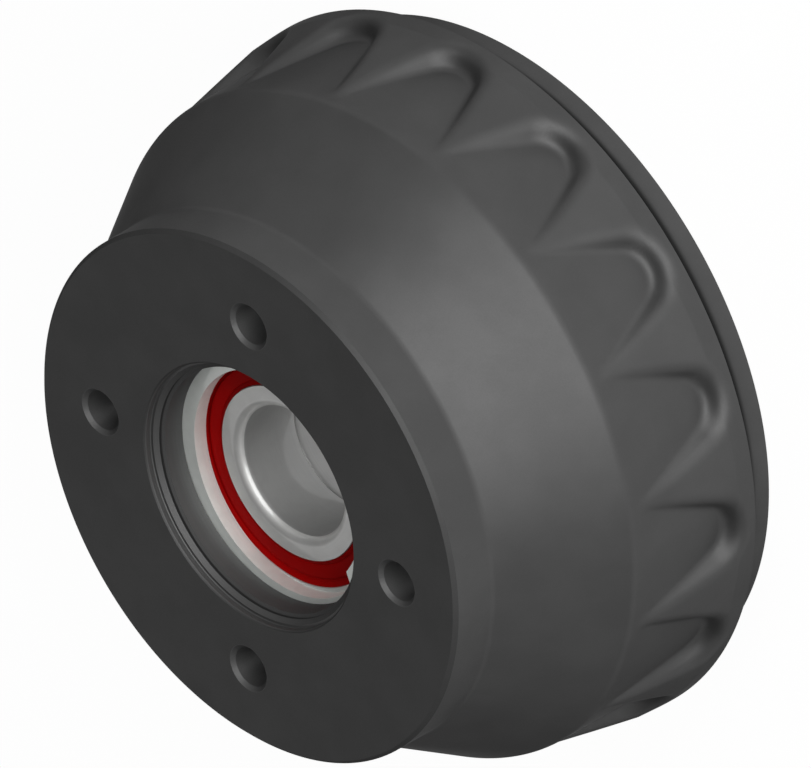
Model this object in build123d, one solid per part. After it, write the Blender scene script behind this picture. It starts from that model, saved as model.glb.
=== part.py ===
"""Trailer brake drum with its pressed-in compact wheel bearing, in millimetres.

The drum stands on its open rear rim. Its spin axis is Z and the wheel flange faces up.
Depths are counted downwards from the flange face, radii from the spin axis.
"""
import os
from math import acos, cos, radians, sin, sqrt, tan

from build123d import *

# Overall
DRUM_LENGTH = 89.7
FRICTION_R = 80.0
FLANGE_R = 70.0
FLANGE_CHAMFER = 1.0
FLANGE_PLATE = 13.0
CONE_ANGLE = 30.0
CONE_START_ROUND = 4.0
SHOULDER_DEPTH = 43.0
SHOULDER_ROUND = 4.6

# Ribbed skirt
DRUM_WALL = 7.6
RIB_RISE = 4.9
FLOOR_R = FRICTION_R + DRUM_WALL
SKIRT_R = FLOOR_R + RIB_RISE
RIB_SLOPE = 10.0
RIB_FULL_DEPTH = 73.6
POCKETS = 16
POCKET_HALF_ANGLE = 25.0
POCKET_END_R = 6.25
POCKET_END_DEPTH = 64.74
POCKET_FOOT_R = 2.1
POCKET_LIP_R = 4.3
POCKET_WALL = 70.0
POCKET_FRONT = 42.5
FLANK_SHARE = 0.97
RIB_RISE_MIN = 0.15

# Rear rim
COVE_R = 7.4
RIM_WALL = 6.5
RIM_R = FRICTION_R + RIM_WALL
COVE_DEPTH = 86.0
RIM_EDGE = 0.4

# Inside of the drum
FRICTION_LEAD_IN = 1.5
CAST_WALL = 7.0
INNER_ROUND = 4.0
SEAT_R = 32.0
BOSS_WALL = 6.5
BOSS_R = SEAT_R + BOSS_WALL
BOSS_ROUND = 5.0
BOSS_DRAFT = 0.7
BOSS_LIP = 4.0
BOSS_LIP_R = SEAT_R - 3.5
BOSS_LIP_CHAMFER = 0.8

# Wheel bolt holes
BOLT_CIRCLE_R = 50.0
BOLT_COUNT = 4
BOLT_HOLE_R = 5.25
BOLT_CHAMFER_R = 6.2

# Mouth of the hub, in steps from the flange face
CAP_SEAT_R = SEAT_R + 0.35
CAP_LEAD_R = CAP_SEAT_R + 0.71
CAP_SEAT_DEPTH = 4.16
MOUTH_R = CAP_SEAT_R + 2.7
MOUTH_EDGE = 0.45
MOUTH_FLOOR_DEPTH = 1.98
MOUTH_ROUND = 0.35
LEDGE_R = CAP_SEAT_R + 1.9
LEDGE_FOOT_R = CAP_SEAT_R + 0.85
GROOVE_DEPTH = 3.05
GROOVE_WIDTH = 0.65
GROOVE_R = CAP_SEAT_R + 1.95

# Bearing
BEARING_CENTRE = 32.5
INNER_PAIR_WIDTH = 37.0
OUTER_RING_WIDTH = INNER_PAIR_WIDTH - 0.1
OUTER_RING_FRONT = BEARING_CENTRE - OUTER_RING_WIDTH / 2
SHAFT_R = 17.0
SHAFT_CORNER = 2.7
SPLIT_GAP = 0.02
BALL_R = 4.7625
BALL_PITCH_R = (SHAFT_R + SEAT_R) / 2
BALL_COUNT = 13
ROW_OFFSET = 8.7
RACE_CLEARANCE = 0.15
SHOULDER_R = BALL_PITCH_R - 1.5
LOW_SHOULDER_R = BALL_PITCH_R - 3.9
OUTER_LOW_R = BALL_PITCH_R + 3.5
OUTER_LAND_R = BALL_PITCH_R + 1.7
CAGE_HALF_WALL = 1.15
CAGE_INNER_R = BALL_PITCH_R - CAGE_HALF_WALL
CAGE_OUTER_R = BALL_PITCH_R + CAGE_HALF_WALL
CAGE_POCKET_R = BALL_R + 0.1375
CAGE_OPEN_SIDE = CAGE_POCKET_R - 1.7
CAGE_BACK_SIDE = CAGE_POCKET_R + 1.7

# Retaining ring and the groove it sits in
CLIP_THICKNESS = 3.95
CLIP_R = SEAT_R + 1.45
CLIP_INNER_R = CLIP_R - 3.47
CLIP_ECCENTRICITY = 1.6
CLIP_GAP_ANGLE = -12.0
CLIP_GAP = 9.0
CLIP_LUG_R = CLIP_R - 5.9
CLIP_LUG_ANGLE = 21.7
CLIP_LUG_FLARE = 33.0
CLIP_EYE_R = 1.4
CLIP_EYE_PITCH_R = CLIP_R - 3.25
CLIP_EYE_ASIDE = CLIP_GAP / 2 + 3.0
CLIP_GROOVE_R = CLIP_R + 0.05
CLIP_GROOVE_START = OUTER_RING_FRONT - CLIP_THICKNESS - 0.15
CLIP_GROOVE_END = OUTER_RING_FRONT + 0.05

# Seals
RING_MOUTH_WALL = 2.0
SEAL_SEAT_R = SEAT_R - RING_MOUTH_WALL
SEAL_LIP_GAP = 0.12
SEAL_LIP_DEPTH = OUTER_RING_FRONT + 0.15
SEAL_FACE = OUTER_RING_FRONT + 0.65
SEAL_GROOVE = SEAL_FACE + 0.45
SEAL_BACK = SEAL_FACE + 1.05
SEAL_SLEEVE = 0.5
SEAL_SLEEVE_END = OUTER_RING_FRONT + 3.95
SEAL_SEAT_END = SEAL_SLEEVE_END + 0.2
INSERT_OUTER_R = SEAL_SEAT_R - SEAL_SLEEVE
INSERT_INNER_R = SHOULDER_R + 1.6
INSERT_WALL = 0.6


def lines_through(corners):
    """Closed wire through (radius, depth, rounding) corners, with arcs at the rounded ones."""
    points = [Vector(r, 0, DRUM_LENGTH - depth) for r, depth, _ in corners]
    edges = []
    ends = []
    for i, (_, _, rounding) in enumerate(corners):
        here = points[i]
        back = (points[i - 1] - here).normalized()
        ahead = (points[(i + 1) % len(points)] - here).normalized()
        if rounding == 0:
            ends.append((here, here))
            continue
        half = back.get_angle(ahead) / 2
        reach = rounding / tan(radians(half))
        first = here + back * reach
        last = here + ahead * reach
        middle = (back + ahead).normalized()
        top = here + middle * (rounding / sin(radians(half)) - rounding)
        edges += ThreePointArc(first, top, last).edges()
        ends.append((first, last))
    for i, (_, last) in enumerate(ends):
        first = ends[(i + 1) % len(ends)][0]
        if (first - last).length > 1e-6:
            edges += Line(last, first).edges()
    return Wire(edges)


def turned(corners, arc=360):
    """Solid of revolution from (radius, depth, rounding) corners, or an arc of it."""
    return revolve(Face(lines_through(corners)), Axis.Z, arc)


def turned_edges(pieces):
    """Solid of revolution from lines and arcs that close on themselves."""
    edges = [edge for piece in pieces for edge in piece.edges()]
    return revolve(Face(Wire(edges)), Axis.Z, 360)


def at(r, depth):
    """Point of a turned section."""
    return Vector(r, 0, DRUM_LENGTH - depth)


def rib_top(depth):
    """Radius of the ribs' outer surface."""
    return SKIRT_R - max(0.0, RIB_FULL_DEPTH - depth) * tan(radians(RIB_SLOPE))


def wall_form(rise):
    """Width, slope angle and flank height of a pocket wall of this height.

    A foot arc, a straight flank and a lip arc follow each other. Low walls are less steep.
    """
    both = POCKET_FOOT_R + POCKET_LIP_R
    wall = min(radians(POCKET_WALL), acos(1 - FLANK_SHARE * rise / both))
    flank = rise - both * (1 - cos(wall))
    width = both * sin(wall) + flank / tan(wall)
    return width, wall, flank


def wall_section(base_depth, base_across, turn):
    """Closed section of the pocket cutter, square to the pocket's outline.

    The base point is on the outline, turn is the outward direction in degrees from the
    direction of depth.
    """
    ahead = cos(radians(turn))
    aside = sin(radians(turn))
    width = 0.0
    for _ in range(6):
        rise = max(RIB_RISE_MIN, rib_top(base_depth + width * ahead) - FLOOR_R)
        width, wall, flank = wall_form(rise)
    foot_exit = max(radians(5), 0.12 * wall)
    lip_exit = max(radians(5), 0.17 * wall)
    angle = base_across / (FLOOR_R + 0.4)

    def point(out, up):
        q = out * aside
        r = sqrt((FLOOR_R + up) ** 2 - q ** 2)
        return Vector(r * cos(angle) - q * sin(angle), r * sin(angle) + q * cos(angle),
                      DRUM_LENGTH - base_depth - out * ahead)

    def foot(a):
        return POCKET_FOOT_R * sin(a), POCKET_FOOT_R * (1 - cos(a))

    def lip(a):
        return width - POCKET_LIP_R * sin(a), rise - POCKET_LIP_R * (1 - cos(a))

    foot_arc = [point(*foot(foot_exit + (wall - foot_exit) * i / 3)) for i in range(4)]
    lip_arc = [point(*lip(wall - (wall - lip_exit) * i / 4)) for i in range(5)]
    out0, up0 = foot(foot_exit)
    start = point(out0 - 1.5 * cos(foot_exit), up0 - 1.5 * sin(foot_exit))
    out1, up1 = lip(lip_exit)
    end_out = out1 + 4 * cos(lip_exit)
    end = point(end_out, up1 + 4 * sin(lip_exit))
    inner = 1.0 - POCKET_END_R
    pieces = [
        Line(start, foot_arc[0]),
        Spline(foot_arc),
        Line(foot_arc[-1], lip_arc[0]),
        Spline(lip_arc),
        Polyline(lip_arc[-1], end, point(end_out, 9), point(inner, 9), point(inner, -0.6),
                 start),
    ]
    return Wire([edge for piece in pieces for edge in piece.edges()])


def pocket_core():
    """Straight-sided middle of the pocket cutter, seen from outside a V closed by an arc."""
    r = POCKET_END_R - 0.5
    half = radians(POCKET_HALF_ANGLE)
    reach = (POCKET_END_DEPTH - POCKET_FRONT) / cos(half)
    height = DRUM_LENGTH - POCKET_END_DEPTH
    x0 = r * cos(half)
    y0 = -r * sin(half)
    x1 = x0 + reach * sin(half)
    y1 = y0 + reach * cos(half)
    edges = [
        ThreePointArc((-x0, y0), (0, -r), (x0, y0)),
        Polyline((x0, y0), (x1, y1), (-x1, y1), (-x0, y0)),
    ]
    outline = Wire([edge for piece in edges for edge in piece.edges()])
    plane = Plane(origin=(FLOOR_R - 2, 0, height), x_dir=(0, 1, 0), z_dir=(1, 0, 0))
    return extrude(plane * Face(outline), 12)


def pocket_cutter():
    """Everything that one pocket leaves open above its floor."""
    side_turn = 90 - POCKET_HALF_ANGLE
    half = radians(POCKET_HALF_ANGLE)
    end = []
    for share in (0, 0.25, 0.5, 0.75, 1):
        turn = side_turn * share
        end.append(wall_section(POCKET_END_DEPTH + POCKET_END_R * cos(radians(turn)),
                                POCKET_END_R * sin(radians(turn)), turn))
    foot_depth = POCKET_END_DEPTH + POCKET_END_R * sin(half)
    foot_across = POCKET_END_R * cos(half)
    reach = (foot_depth - POCKET_FRONT) / cos(half)
    side = []
    for share in (0, 0.3, 0.6, 0.8, 1):
        side.append(wall_section(foot_depth - reach * share * cos(half),
                                 foot_across + reach * share * sin(half), side_turn))
    cutter = pocket_core()
    for wires in (end, side):
        wall = Solid.make_loft(wires)
        cutter = cutter + wall + wall.mirror(Plane.XZ)
    return cutter - Cylinder(FLOOR_R, 3 * DRUM_LENGTH)


def blank_slice():
    """Slice of the turned casting as wide as one pocket, with the pocket in its middle."""
    slope = tan(radians(CONE_ANGLE))
    cone_start = SHOULDER_DEPTH - (FLOOR_R - FLANGE_R) / slope
    radial_wall = CAST_WALL / cos(radians(CONE_ANGLE))
    inner_r = FLANGE_R + (FLANGE_PLATE - cone_start) * slope - radial_wall
    inner_end = FLANGE_PLATE + (FRICTION_R - inner_r) / slope
    rib_start = RIB_FULL_DEPTH - (SKIRT_R - FLOOR_R) / tan(radians(RIB_SLOPE))
    cove_turn = acos((RIM_R + COVE_R - SKIRT_R) / COVE_R)
    cove_top = COVE_DEPTH - COVE_R * sin(cove_turn)
    cove_corner = COVE_DEPTH - COVE_R * tan(cove_turn / 2)
    ring_end = 2 * BEARING_CENTRE - OUTER_RING_FRONT
    boss_end = ring_end + BOSS_LIP
    groove_end = GROOVE_DEPTH + GROOVE_WIDTH
    corners = [
        (MOUTH_R + MOUTH_EDGE, 0, 0),
        (FLANGE_R - FLANGE_CHAMFER, 0, 0),
        (FLANGE_R, FLANGE_CHAMFER, 0),
        (FLANGE_R, cone_start, CONE_START_ROUND),
        (FLOOR_R, SHOULDER_DEPTH, SHOULDER_ROUND),
        (FLOOR_R, rib_start, 0),
        (SKIRT_R, RIB_FULL_DEPTH, 0),
        (SKIRT_R, cove_top, 0),
        (RIM_R, cove_corner, COVE_R),
        (RIM_R, DRUM_LENGTH - RIM_EDGE, 0),
        (RIM_R - RIM_EDGE, DRUM_LENGTH, 0),
        (FRICTION_R + FRICTION_LEAD_IN, DRUM_LENGTH, 0),
        (FRICTION_R, DRUM_LENGTH - FRICTION_LEAD_IN, 0),
        (FRICTION_R, inner_end, INNER_ROUND),
        (inner_r, FLANGE_PLATE, INNER_ROUND),
        (BOSS_R, FLANGE_PLATE, BOSS_ROUND),
        (BOSS_R - BOSS_DRAFT, boss_end - 1, 0),
        (BOSS_R - BOSS_DRAFT - 1, boss_end, 0),
        (BOSS_LIP_R + BOSS_LIP_CHAMFER, boss_end, 0),
        (BOSS_LIP_R, boss_end - BOSS_LIP_CHAMFER, 0),
        (BOSS_LIP_R, ring_end, 0),
        (SEAT_R, ring_end, 0),
        (SEAT_R, CLIP_GROOVE_END, 0),
        (CLIP_GROOVE_R, CLIP_GROOVE_END, 0),
        (CLIP_GROOVE_R, CLIP_GROOVE_START, 0),
        (CAP_SEAT_R, CLIP_GROOVE_START, 0),
        (CAP_SEAT_R, CAP_SEAT_DEPTH, 0),
        (CAP_LEAD_R, groove_end, 0),
        (GROOVE_R, groove_end, 0),
        (GROOVE_R, GROOVE_DEPTH, 0),
        (LEDGE_FOOT_R, GROOVE_DEPTH, 0),
        (LEDGE_R, MOUTH_FLOOR_DEPTH, 0),
        (MOUTH_R, MOUTH_FLOOR_DEPTH, MOUTH_ROUND),
        (MOUTH_R, MOUTH_EDGE, 0),
    ]
    return turned(corners, 360 / POCKETS).rotate(Axis.Z, -180 / POCKETS)


def bolt_holes():
    """Tapping-size holes with a chamfer at both ends."""
    depth = FLANGE_PLATE
    flare = BOLT_CHAMFER_R - BOLT_HOLE_R
    hole = Cylinder(BOLT_HOLE_R, 3 * depth)
    top = Cone(BOLT_HOLE_R, BOLT_CHAMFER_R + 1, flare + 1)
    front = Pos(0, 0, (flare + 1) / 2 - flare) * top
    rear = Pos(0, 0, -depth - (flare + 1) / 2 + flare) * Rot(180, 0, 0) * top
    tool = hole + front + rear
    place = [Rot(0, 0, 360 / BOLT_COUNT * i) * Pos(BOLT_CIRCLE_R, 0, DRUM_LENGTH)
             for i in range(BOLT_COUNT)]
    return [spot * tool for spot in place]


def drum_casting():
    """The one cast and machined piece."""
    slice_cut = blank_slice() - pocket_cutter()
    slices = [slice_cut.rotate(Axis.Z, 360 / POCKETS * i) for i in range(POCKETS)]
    drum = slices[0].fuse(*slices[1:])
    for hole in bolt_holes():
        drum = drum - hole
    return drum


def groove_depth(radius, side, row):
    """Depth at which a raceway arc meets a cylinder of this radius."""
    groove = BALL_R + RACE_CLEARANCE
    return row + side * sqrt(groove ** 2 - (radius - BALL_PITCH_R) ** 2)


def inner_ring():
    """Outboard half of the inner ring: corner radius, bore, low shoulder, raceway, seal land."""
    row = BEARING_CENTRE - ROW_OFFSET
    front = BEARING_CENTRE - INNER_PAIR_WIDTH / 2
    back = BEARING_CENTRE - SPLIT_GAP / 2
    groove = BALL_R + RACE_CLEARANCE
    low = groove_depth(LOW_SHOULDER_R, 1, row)
    high = groove_depth(SHOULDER_R, -1, row)
    bend = SHAFT_CORNER * (1 - sqrt(0.5))
    edges = [
        ThreePointArc(at(SHAFT_R, front + SHAFT_CORNER), at(SHAFT_R + bend, front + bend),
                      at(SHAFT_R + SHAFT_CORNER, front)),
        Polyline(at(SHAFT_R + SHAFT_CORNER, front), at(SHOULDER_R - 0.15, front),
                 at(SHOULDER_R, front + 0.15), at(SHOULDER_R, high)),
        ThreePointArc(at(SHOULDER_R, high), at(BALL_PITCH_R - groove, row),
                      at(LOW_SHOULDER_R, low)),
        Polyline(at(LOW_SHOULDER_R, low), at(LOW_SHOULDER_R, back - 0.4),
                 at(LOW_SHOULDER_R - 0.4, back), at(SHAFT_R + 0.4, back),
                 at(SHAFT_R, back - 0.4), at(SHAFT_R, front + SHAFT_CORNER)),
    ]
    return turned_edges(edges)


def outer_ring():
    """One-piece outer ring with two raceways and a seal seat at each end."""
    row = BEARING_CENTRE - ROW_OFFSET
    groove = BALL_R + RACE_CLEARANCE
    near = groove_depth(OUTER_LOW_R, -1, row)
    far = groove_depth(OUTER_LAND_R, 1, row)

    def other(depth):
        return 2 * BEARING_CENTRE - depth

    front = OUTER_RING_FRONT
    edges = [
        Polyline(at(SEAT_R - 0.3, front), at(SEAL_SEAT_R + 0.15, front),
                 at(SEAL_SEAT_R, front + 0.15), at(SEAL_SEAT_R, SEAL_SEAT_END),
                 at(OUTER_LOW_R, SEAL_SEAT_END), at(OUTER_LOW_R, near)),
        ThreePointArc(at(OUTER_LOW_R, near), at(BALL_PITCH_R + groove, row),
                      at(OUTER_LAND_R, far)),
        Line(at(OUTER_LAND_R, far), at(OUTER_LAND_R, other(far))),
        ThreePointArc(at(OUTER_LAND_R, other(far)), at(BALL_PITCH_R + groove, other(row)),
                      at(OUTER_LOW_R, other(near))),
        Polyline(at(OUTER_LOW_R, other(near)), at(OUTER_LOW_R, other(SEAL_SEAT_END)),
                 at(SEAL_SEAT_R, other(SEAL_SEAT_END)), at(SEAL_SEAT_R, other(front + 0.15)),
                 at(SEAL_SEAT_R + 0.15, other(front)), at(SEAT_R - 0.3, other(front)),
                 at(SEAT_R, other(front + 0.3)), at(SEAT_R, front + 0.3),
                 at(SEAT_R - 0.3, front)),
    ]
    return turned_edges(edges)


def ball_places():
    """Angles of the balls of a row."""
    return [360 / BALL_COUNT * i for i in range(BALL_COUNT)]


def ball_row():
    """Balls of the outboard row."""
    row = DRUM_LENGTH - BEARING_CENTRE + ROW_OFFSET
    ball = Pos(BALL_PITCH_R, 0, row) * Sphere(BALL_R)
    return Compound([Rot(0, 0, angle) * ball for angle in ball_places()])


def ball_cage():
    """Snap cage of the outboard row: a ring with round pockets open to the seal side."""
    row = BEARING_CENTRE - ROW_OFFSET
    ring = turned([
        (CAGE_INNER_R, row - CAGE_OPEN_SIDE, 0),
        (CAGE_OUTER_R, row - CAGE_OPEN_SIDE, 0),
        (CAGE_OUTER_R, row + CAGE_BACK_SIDE, 0),
        (CAGE_INNER_R, row + CAGE_BACK_SIDE, 0),
    ])
    pocket = Pos(BALL_PITCH_R, 0, DRUM_LENGTH - row) * Sphere(CAGE_POCKET_R)
    for angle in ball_places():
        ring = ring - Rot(0, 0, angle) * pocket
    return ring


def seal_rubber():
    """Outboard seal: sloped edge, groove, flat face, and a lip beside the inner ring."""
    lip = SHOULDER_R + SEAL_LIP_GAP
    return turned([
        (SEAL_SEAT_R, SEAL_FACE + 0.1, 0),
        (SEAL_SEAT_R - 0.15, SEAL_FACE - 0.05, 0),
        (SEAL_SEAT_R - 1.25, SEAL_GROOVE, 0),
        (SEAL_SEAT_R - 1.65, SEAL_GROOVE, 0),
        (SEAL_SEAT_R - 2.3, SEAL_FACE, 0),
        (lip + 1.3, SEAL_FACE, 0),
        (lip + 1.1, SEAL_FACE + 0.2, 0),
        (lip + 0.9, SEAL_FACE, 0),
        (lip, SEAL_LIP_DEPTH, 0),
        (lip, SEAL_FACE + 0.15, 0),
        (lip + 0.9, SEAL_BACK, 0),
        (INSERT_OUTER_R, SEAL_BACK, 0),
        (INSERT_OUTER_R, SEAL_SLEEVE_END, 0),
        (SEAL_SEAT_R, SEAL_SLEEVE_END, 0),
    ])


def seal_insert():
    """Pressed steel stiffener behind the outboard seal."""
    return turned([
        (INSERT_INNER_R, SEAL_BACK, 0),
        (INSERT_OUTER_R, SEAL_BACK, 0),
        (INSERT_OUTER_R, SEAL_SLEEVE_END, 0),
        (INSERT_OUTER_R - INSERT_WALL, SEAL_SLEEVE_END, 0),
        (INSERT_OUTER_R - INSERT_WALL, SEAL_BACK + INSERT_WALL, 0),
        (INSERT_INNER_R, SEAL_BACK + INSERT_WALL, 0),
    ])


def retaining_ring():
    """Spring ring in front of the bearing: widest opposite its gap, with an eye in each lug."""
    half_lug = radians(CLIP_LUG_ANGLE)
    lean = half_lug + radians(CLIP_LUG_FLARE)
    corner = Vector(cos(half_lug), sin(half_lug), 0) * CLIP_LUG_R
    run = Vector(cos(lean), sin(lean), 0)
    inner = corner - run * (CLIP_R - CLIP_LUG_R)
    outer = corner + run * CLIP_R
    wedge = Polyline((inner.X, inner.Y), (outer.X, outer.Y), (2 * CLIP_R, 0),
                     (outer.X, -outer.Y), (inner.X, -inner.Y), close=True)
    lugs = (Circle(CLIP_R) - Circle(CLIP_LUG_R)) & Face(Wire(wedge.edges()))
    flat = Circle(CLIP_R) - Pos(CLIP_ECCENTRICITY, 0) * Circle(CLIP_INNER_R) + lugs
    flat = flat - Pos(CLIP_R, 0) * Rectangle(CLIP_R, CLIP_GAP)
    along = sqrt(CLIP_EYE_PITCH_R ** 2 - CLIP_EYE_ASIDE ** 2)
    for side in (1, -1):
        flat = flat - Pos(along, side * CLIP_EYE_ASIDE) * Circle(CLIP_EYE_R)
    ring = extrude(flat, CLIP_THICKNESS)
    return Pos(0, 0, DRUM_LENGTH - OUTER_RING_FRONT) * Rot(0, 0, CLIP_GAP_ANGLE) * ring


def inboard(part):
    """The same piece on the other side of the bearing's middle plane."""
    return part.mirror(Plane.XY.offset(DRUM_LENGTH - BEARING_CENTRE))


def main():
    """Write every node as a STEP file."""
    os.makedirs("parts", exist_ok=True)
    ring = inner_ring()
    balls = ball_row()
    cage = ball_cage()
    rubber = seal_rubber()
    insert = seal_insert()
    nodes = {
        "drum_casting": drum_casting(),
        "bearing_outer_ring": outer_ring(),
        "retaining_ring": retaining_ring(),
        "inner_ring_outboard": ring,
        "inner_ring_inboard": inboard(ring),
        "ball_row_outboard": balls,
        "ball_row_inboard": inboard(balls),
        "ball_cage_outboard": cage,
        "ball_cage_inboard": inboard(cage),
        "seal_outboard": rubber,
        "seal_inboard": inboard(rubber),
        "seal_insert_outboard": insert,
        "seal_insert_inboard": inboard(insert),
    }
    for name, shape in nodes.items():
        export_step(shape, f"parts/{name}.step")


if __name__ == "__main__":
    main()
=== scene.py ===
"""Looks of a trailer brake drum with its compact wheel bearing.

The drum stands on its open rear rim with the wheel flange up. Depths are counted down from
the flange face and radii from the spin axis, both in millimetres, as on the drum's drawing.
Every mesh is worked out as whole numpy arrays and put in place in metres.
"""
from __future__ import annotations

import logging
from dataclasses import dataclass, field
from enum import Enum
from math import atan2, cos, pi, radians, sin, sqrt, tan

import bmesh
import bpy
import numpy as np
from mathutils import Matrix, Vector


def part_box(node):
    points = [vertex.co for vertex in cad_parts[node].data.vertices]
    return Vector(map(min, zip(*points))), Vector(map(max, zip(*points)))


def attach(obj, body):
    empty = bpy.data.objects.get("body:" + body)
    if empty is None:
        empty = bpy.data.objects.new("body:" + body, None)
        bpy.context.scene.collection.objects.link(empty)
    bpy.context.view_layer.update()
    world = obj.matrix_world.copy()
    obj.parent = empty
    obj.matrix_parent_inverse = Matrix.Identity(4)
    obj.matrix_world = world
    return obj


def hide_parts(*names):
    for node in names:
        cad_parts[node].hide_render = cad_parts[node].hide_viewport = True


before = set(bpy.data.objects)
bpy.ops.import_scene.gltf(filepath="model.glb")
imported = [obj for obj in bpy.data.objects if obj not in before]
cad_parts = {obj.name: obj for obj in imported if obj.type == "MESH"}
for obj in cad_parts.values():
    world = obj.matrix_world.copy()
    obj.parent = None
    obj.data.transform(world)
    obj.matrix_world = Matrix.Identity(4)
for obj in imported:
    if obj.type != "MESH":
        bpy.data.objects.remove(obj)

LOG = logging.getLogger("brake_drum")
MM = 0.001
CREASE_ANGLE = 28.0
WELD_M = 2e-6
SLIVER_M = 1e-7
TINY = 1e-6

Array = np.ndarray
Piece = bpy.types.Object
Socket = bpy.types.NodeSocket
Pair = tuple[float, float]
Colour = tuple[float, float, float]
Corner = tuple[float, float, float]


class Body(Enum):
    """Rigid bodies that carry the new pieces."""

    DRUM = "drum"
    RACE = "inner_race"


class Side(Enum):
    """Which end of the bearing a piece is made for."""

    OUTBOARD = "outboard"
    INBOARD = "inboard"


# Meshes


def stand(name: str, data: bpy.types.ID) -> Piece:
    """Make an object of a mesh, lamp or camera and put it in the scene."""
    piece = bpy.data.objects.new(name, data)
    bpy.context.scene.collection.objects.link(piece)
    return piece


@dataclass
class Skin:
    """A mesh being gathered from grids: points in millimetres and faces by point number."""

    points: list[Array] = field(default_factory=list)
    quads: list[Array] = field(default_factory=list)
    triangles: list[Array] = field(default_factory=list)
    count: int = 0

    def add_points(self, xyz: Array) -> int:
        """Add points.

        Args:
            xyz: array of points, any shape ending in 3.

        Returns:
            The number of the first of them.
        """
        flat = xyz.reshape(-1, 3)
        first = self.count
        self.points.append(flat)
        self.count += len(flat)
        return first

    def add_ring_grid(self, xyz: Array) -> None:
        """Add a grid that closes round the spin axis.

        Args:
            xyz: points[row, column, 3], where the last column joins the first.
        """
        rows, columns = xyz.shape[:2]
        first = self.add_points(xyz)
        r, c = np.meshgrid(np.arange(rows - 1), np.arange(columns), indexing="ij")
        right = (c + 1) % columns
        ids = [r * columns + c, (r + 1) * columns + c,
               (r + 1) * columns + right, r * columns + right]
        self.quads.append(first + np.stack(ids, axis=-1).reshape(-1, 4))

    def add_fan_strip(self, outer: Array, inner: Array) -> None:
        """Join a closed line of many points to one with four times fewer.

        Each inner side takes one triangle and each outer side one, so the strip is closed.

        Args:
            outer: points[4 n, 3] round the plate's share of the flange.
            inner: points[n, 3] round the hole, where inner[j] faces outer[4 j].
        """
        many, few = len(outer), len(inner)
        a = self.add_points(outer)
        b = self.add_points(inner)
        i = np.arange(many)
        near = ((i + 2) // 4) % few
        self.triangles.append(np.stack([a + i, a + (i + 1) % many, b + near], axis=-1))
        j = np.arange(few)
        tip = (4 * j + 2) % many
        self.triangles.append(np.stack([b + j, a + tip, b + (j + 1) % few], axis=-1))

    def build(self, name: str) -> Piece:
        """Weld the seams and make the object, smooth with creases at sharp angles.

        Args:
            name: name of the piece.

        Returns:
            The new object, with its place in its mesh.
        """
        points = np.concatenate(self.points) * MM
        mesh = bpy.data.meshes.new(name)
        faces = [row.tolist() for part in self.quads + self.triangles for row in part]
        mesh.from_pydata(points.tolist(), [], faces)
        work = bmesh.new()
        work.from_mesh(mesh)
        bmesh.ops.remove_doubles(work, verts=work.verts, dist=WELD_M)
        bmesh.ops.dissolve_degenerate(work, edges=work.edges, dist=SLIVER_M)
        bmesh.ops.recalc_face_normals(work, faces=work.faces)
        work.to_mesh(mesh)
        work.free()
        mesh.polygons.foreach_set("use_smooth", np.ones(len(mesh.polygons), dtype=bool))
        mesh.set_sharp_from_angle(angle=radians(CREASE_ANGLE))
        mesh.update()
        return stand(name, mesh)


def spun(radius: Array | float, angle: Array, height: Array | float) -> Array:
    """Points (r cos a, r sin a, height), with the angles a in degrees."""
    a = np.radians(angle)
    return np.stack(np.broadcast_arrays(radius * np.cos(a), radius * np.sin(a), height), axis=-1)


def arc(centre: Pair, radius: float, start: float, end: float, steps: int) -> Array:
    """Points of an arc in a radial section.

    A point is the centre plus the radius along (cos a, sin a), with a even from start to end.

    Args:
        centre: (radius from the spin axis, depth).
        radius: radius of the arc.
        start: first angle in degrees, 0 outwards and 90 deeper.
        end: last angle in degrees.
        steps: number of chords.

    Returns:
        Array [steps + 1, 2] of (radius, depth).
    """
    a = np.radians(np.linspace(start, end, steps + 1))
    return np.stack([centre[0] + radius * np.cos(a), centre[1] + radius * np.sin(a)], axis=-1)


def rounded(corners: list[Corner], closed: bool, step: float) -> Array:
    """Section line through corners, with true arcs at the rounded ones.

    At a corner of angle 2h a rounding r touches both sides at r / tan h from the corner, and
    its centre lies r / sin h along the bisector.

    Args:
        corners: (radius, depth, rounding) of each corner.
        closed: whether the last corner joins the first.
        step: largest turn in degrees of one chord.

    Returns:
        Array [n, 2] of (radius, depth).
    """
    spots = np.array([corner[:2] for corner in corners], dtype=float)
    pieces: list[Array] = []
    last = len(corners) - 1
    for i, (_, _, rounding) in enumerate(corners):
        here = spots[i]
        if rounding == 0 or (not closed and i in (0, last)):
            pieces.append(here[None, :])
            continue
        back = spots[i - 1] - here
        ahead = spots[(i + 1) % len(spots)] - here
        back /= np.hypot(*back)
        ahead /= np.hypot(*ahead)
        half = np.arccos(np.clip(back @ ahead, -1, 1)) / 2
        middle = (back + ahead) / np.hypot(*(back + ahead))
        centre = here + middle * rounding / np.sin(half)
        a = here + back * rounding / np.tan(half) - centre
        b = here + ahead * rounding / np.tan(half) - centre
        start = np.degrees(np.arctan2(a[1], a[0]))
        turn = (np.degrees(np.arctan2(b[1], b[0])) - start + 180) % 360 - 180
        chords = max(2, int(np.ceil(abs(turn) / step)))
        pieces.append(arc(tuple(centre), rounding, start, start + turn, chords))
    line = np.concatenate(pieces)
    keep = np.ones(len(line), dtype=bool)
    keep[1:] = np.hypot(*(line[1:] - line[:-1]).T) > TINY
    return line[keep]


# Materials


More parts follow.
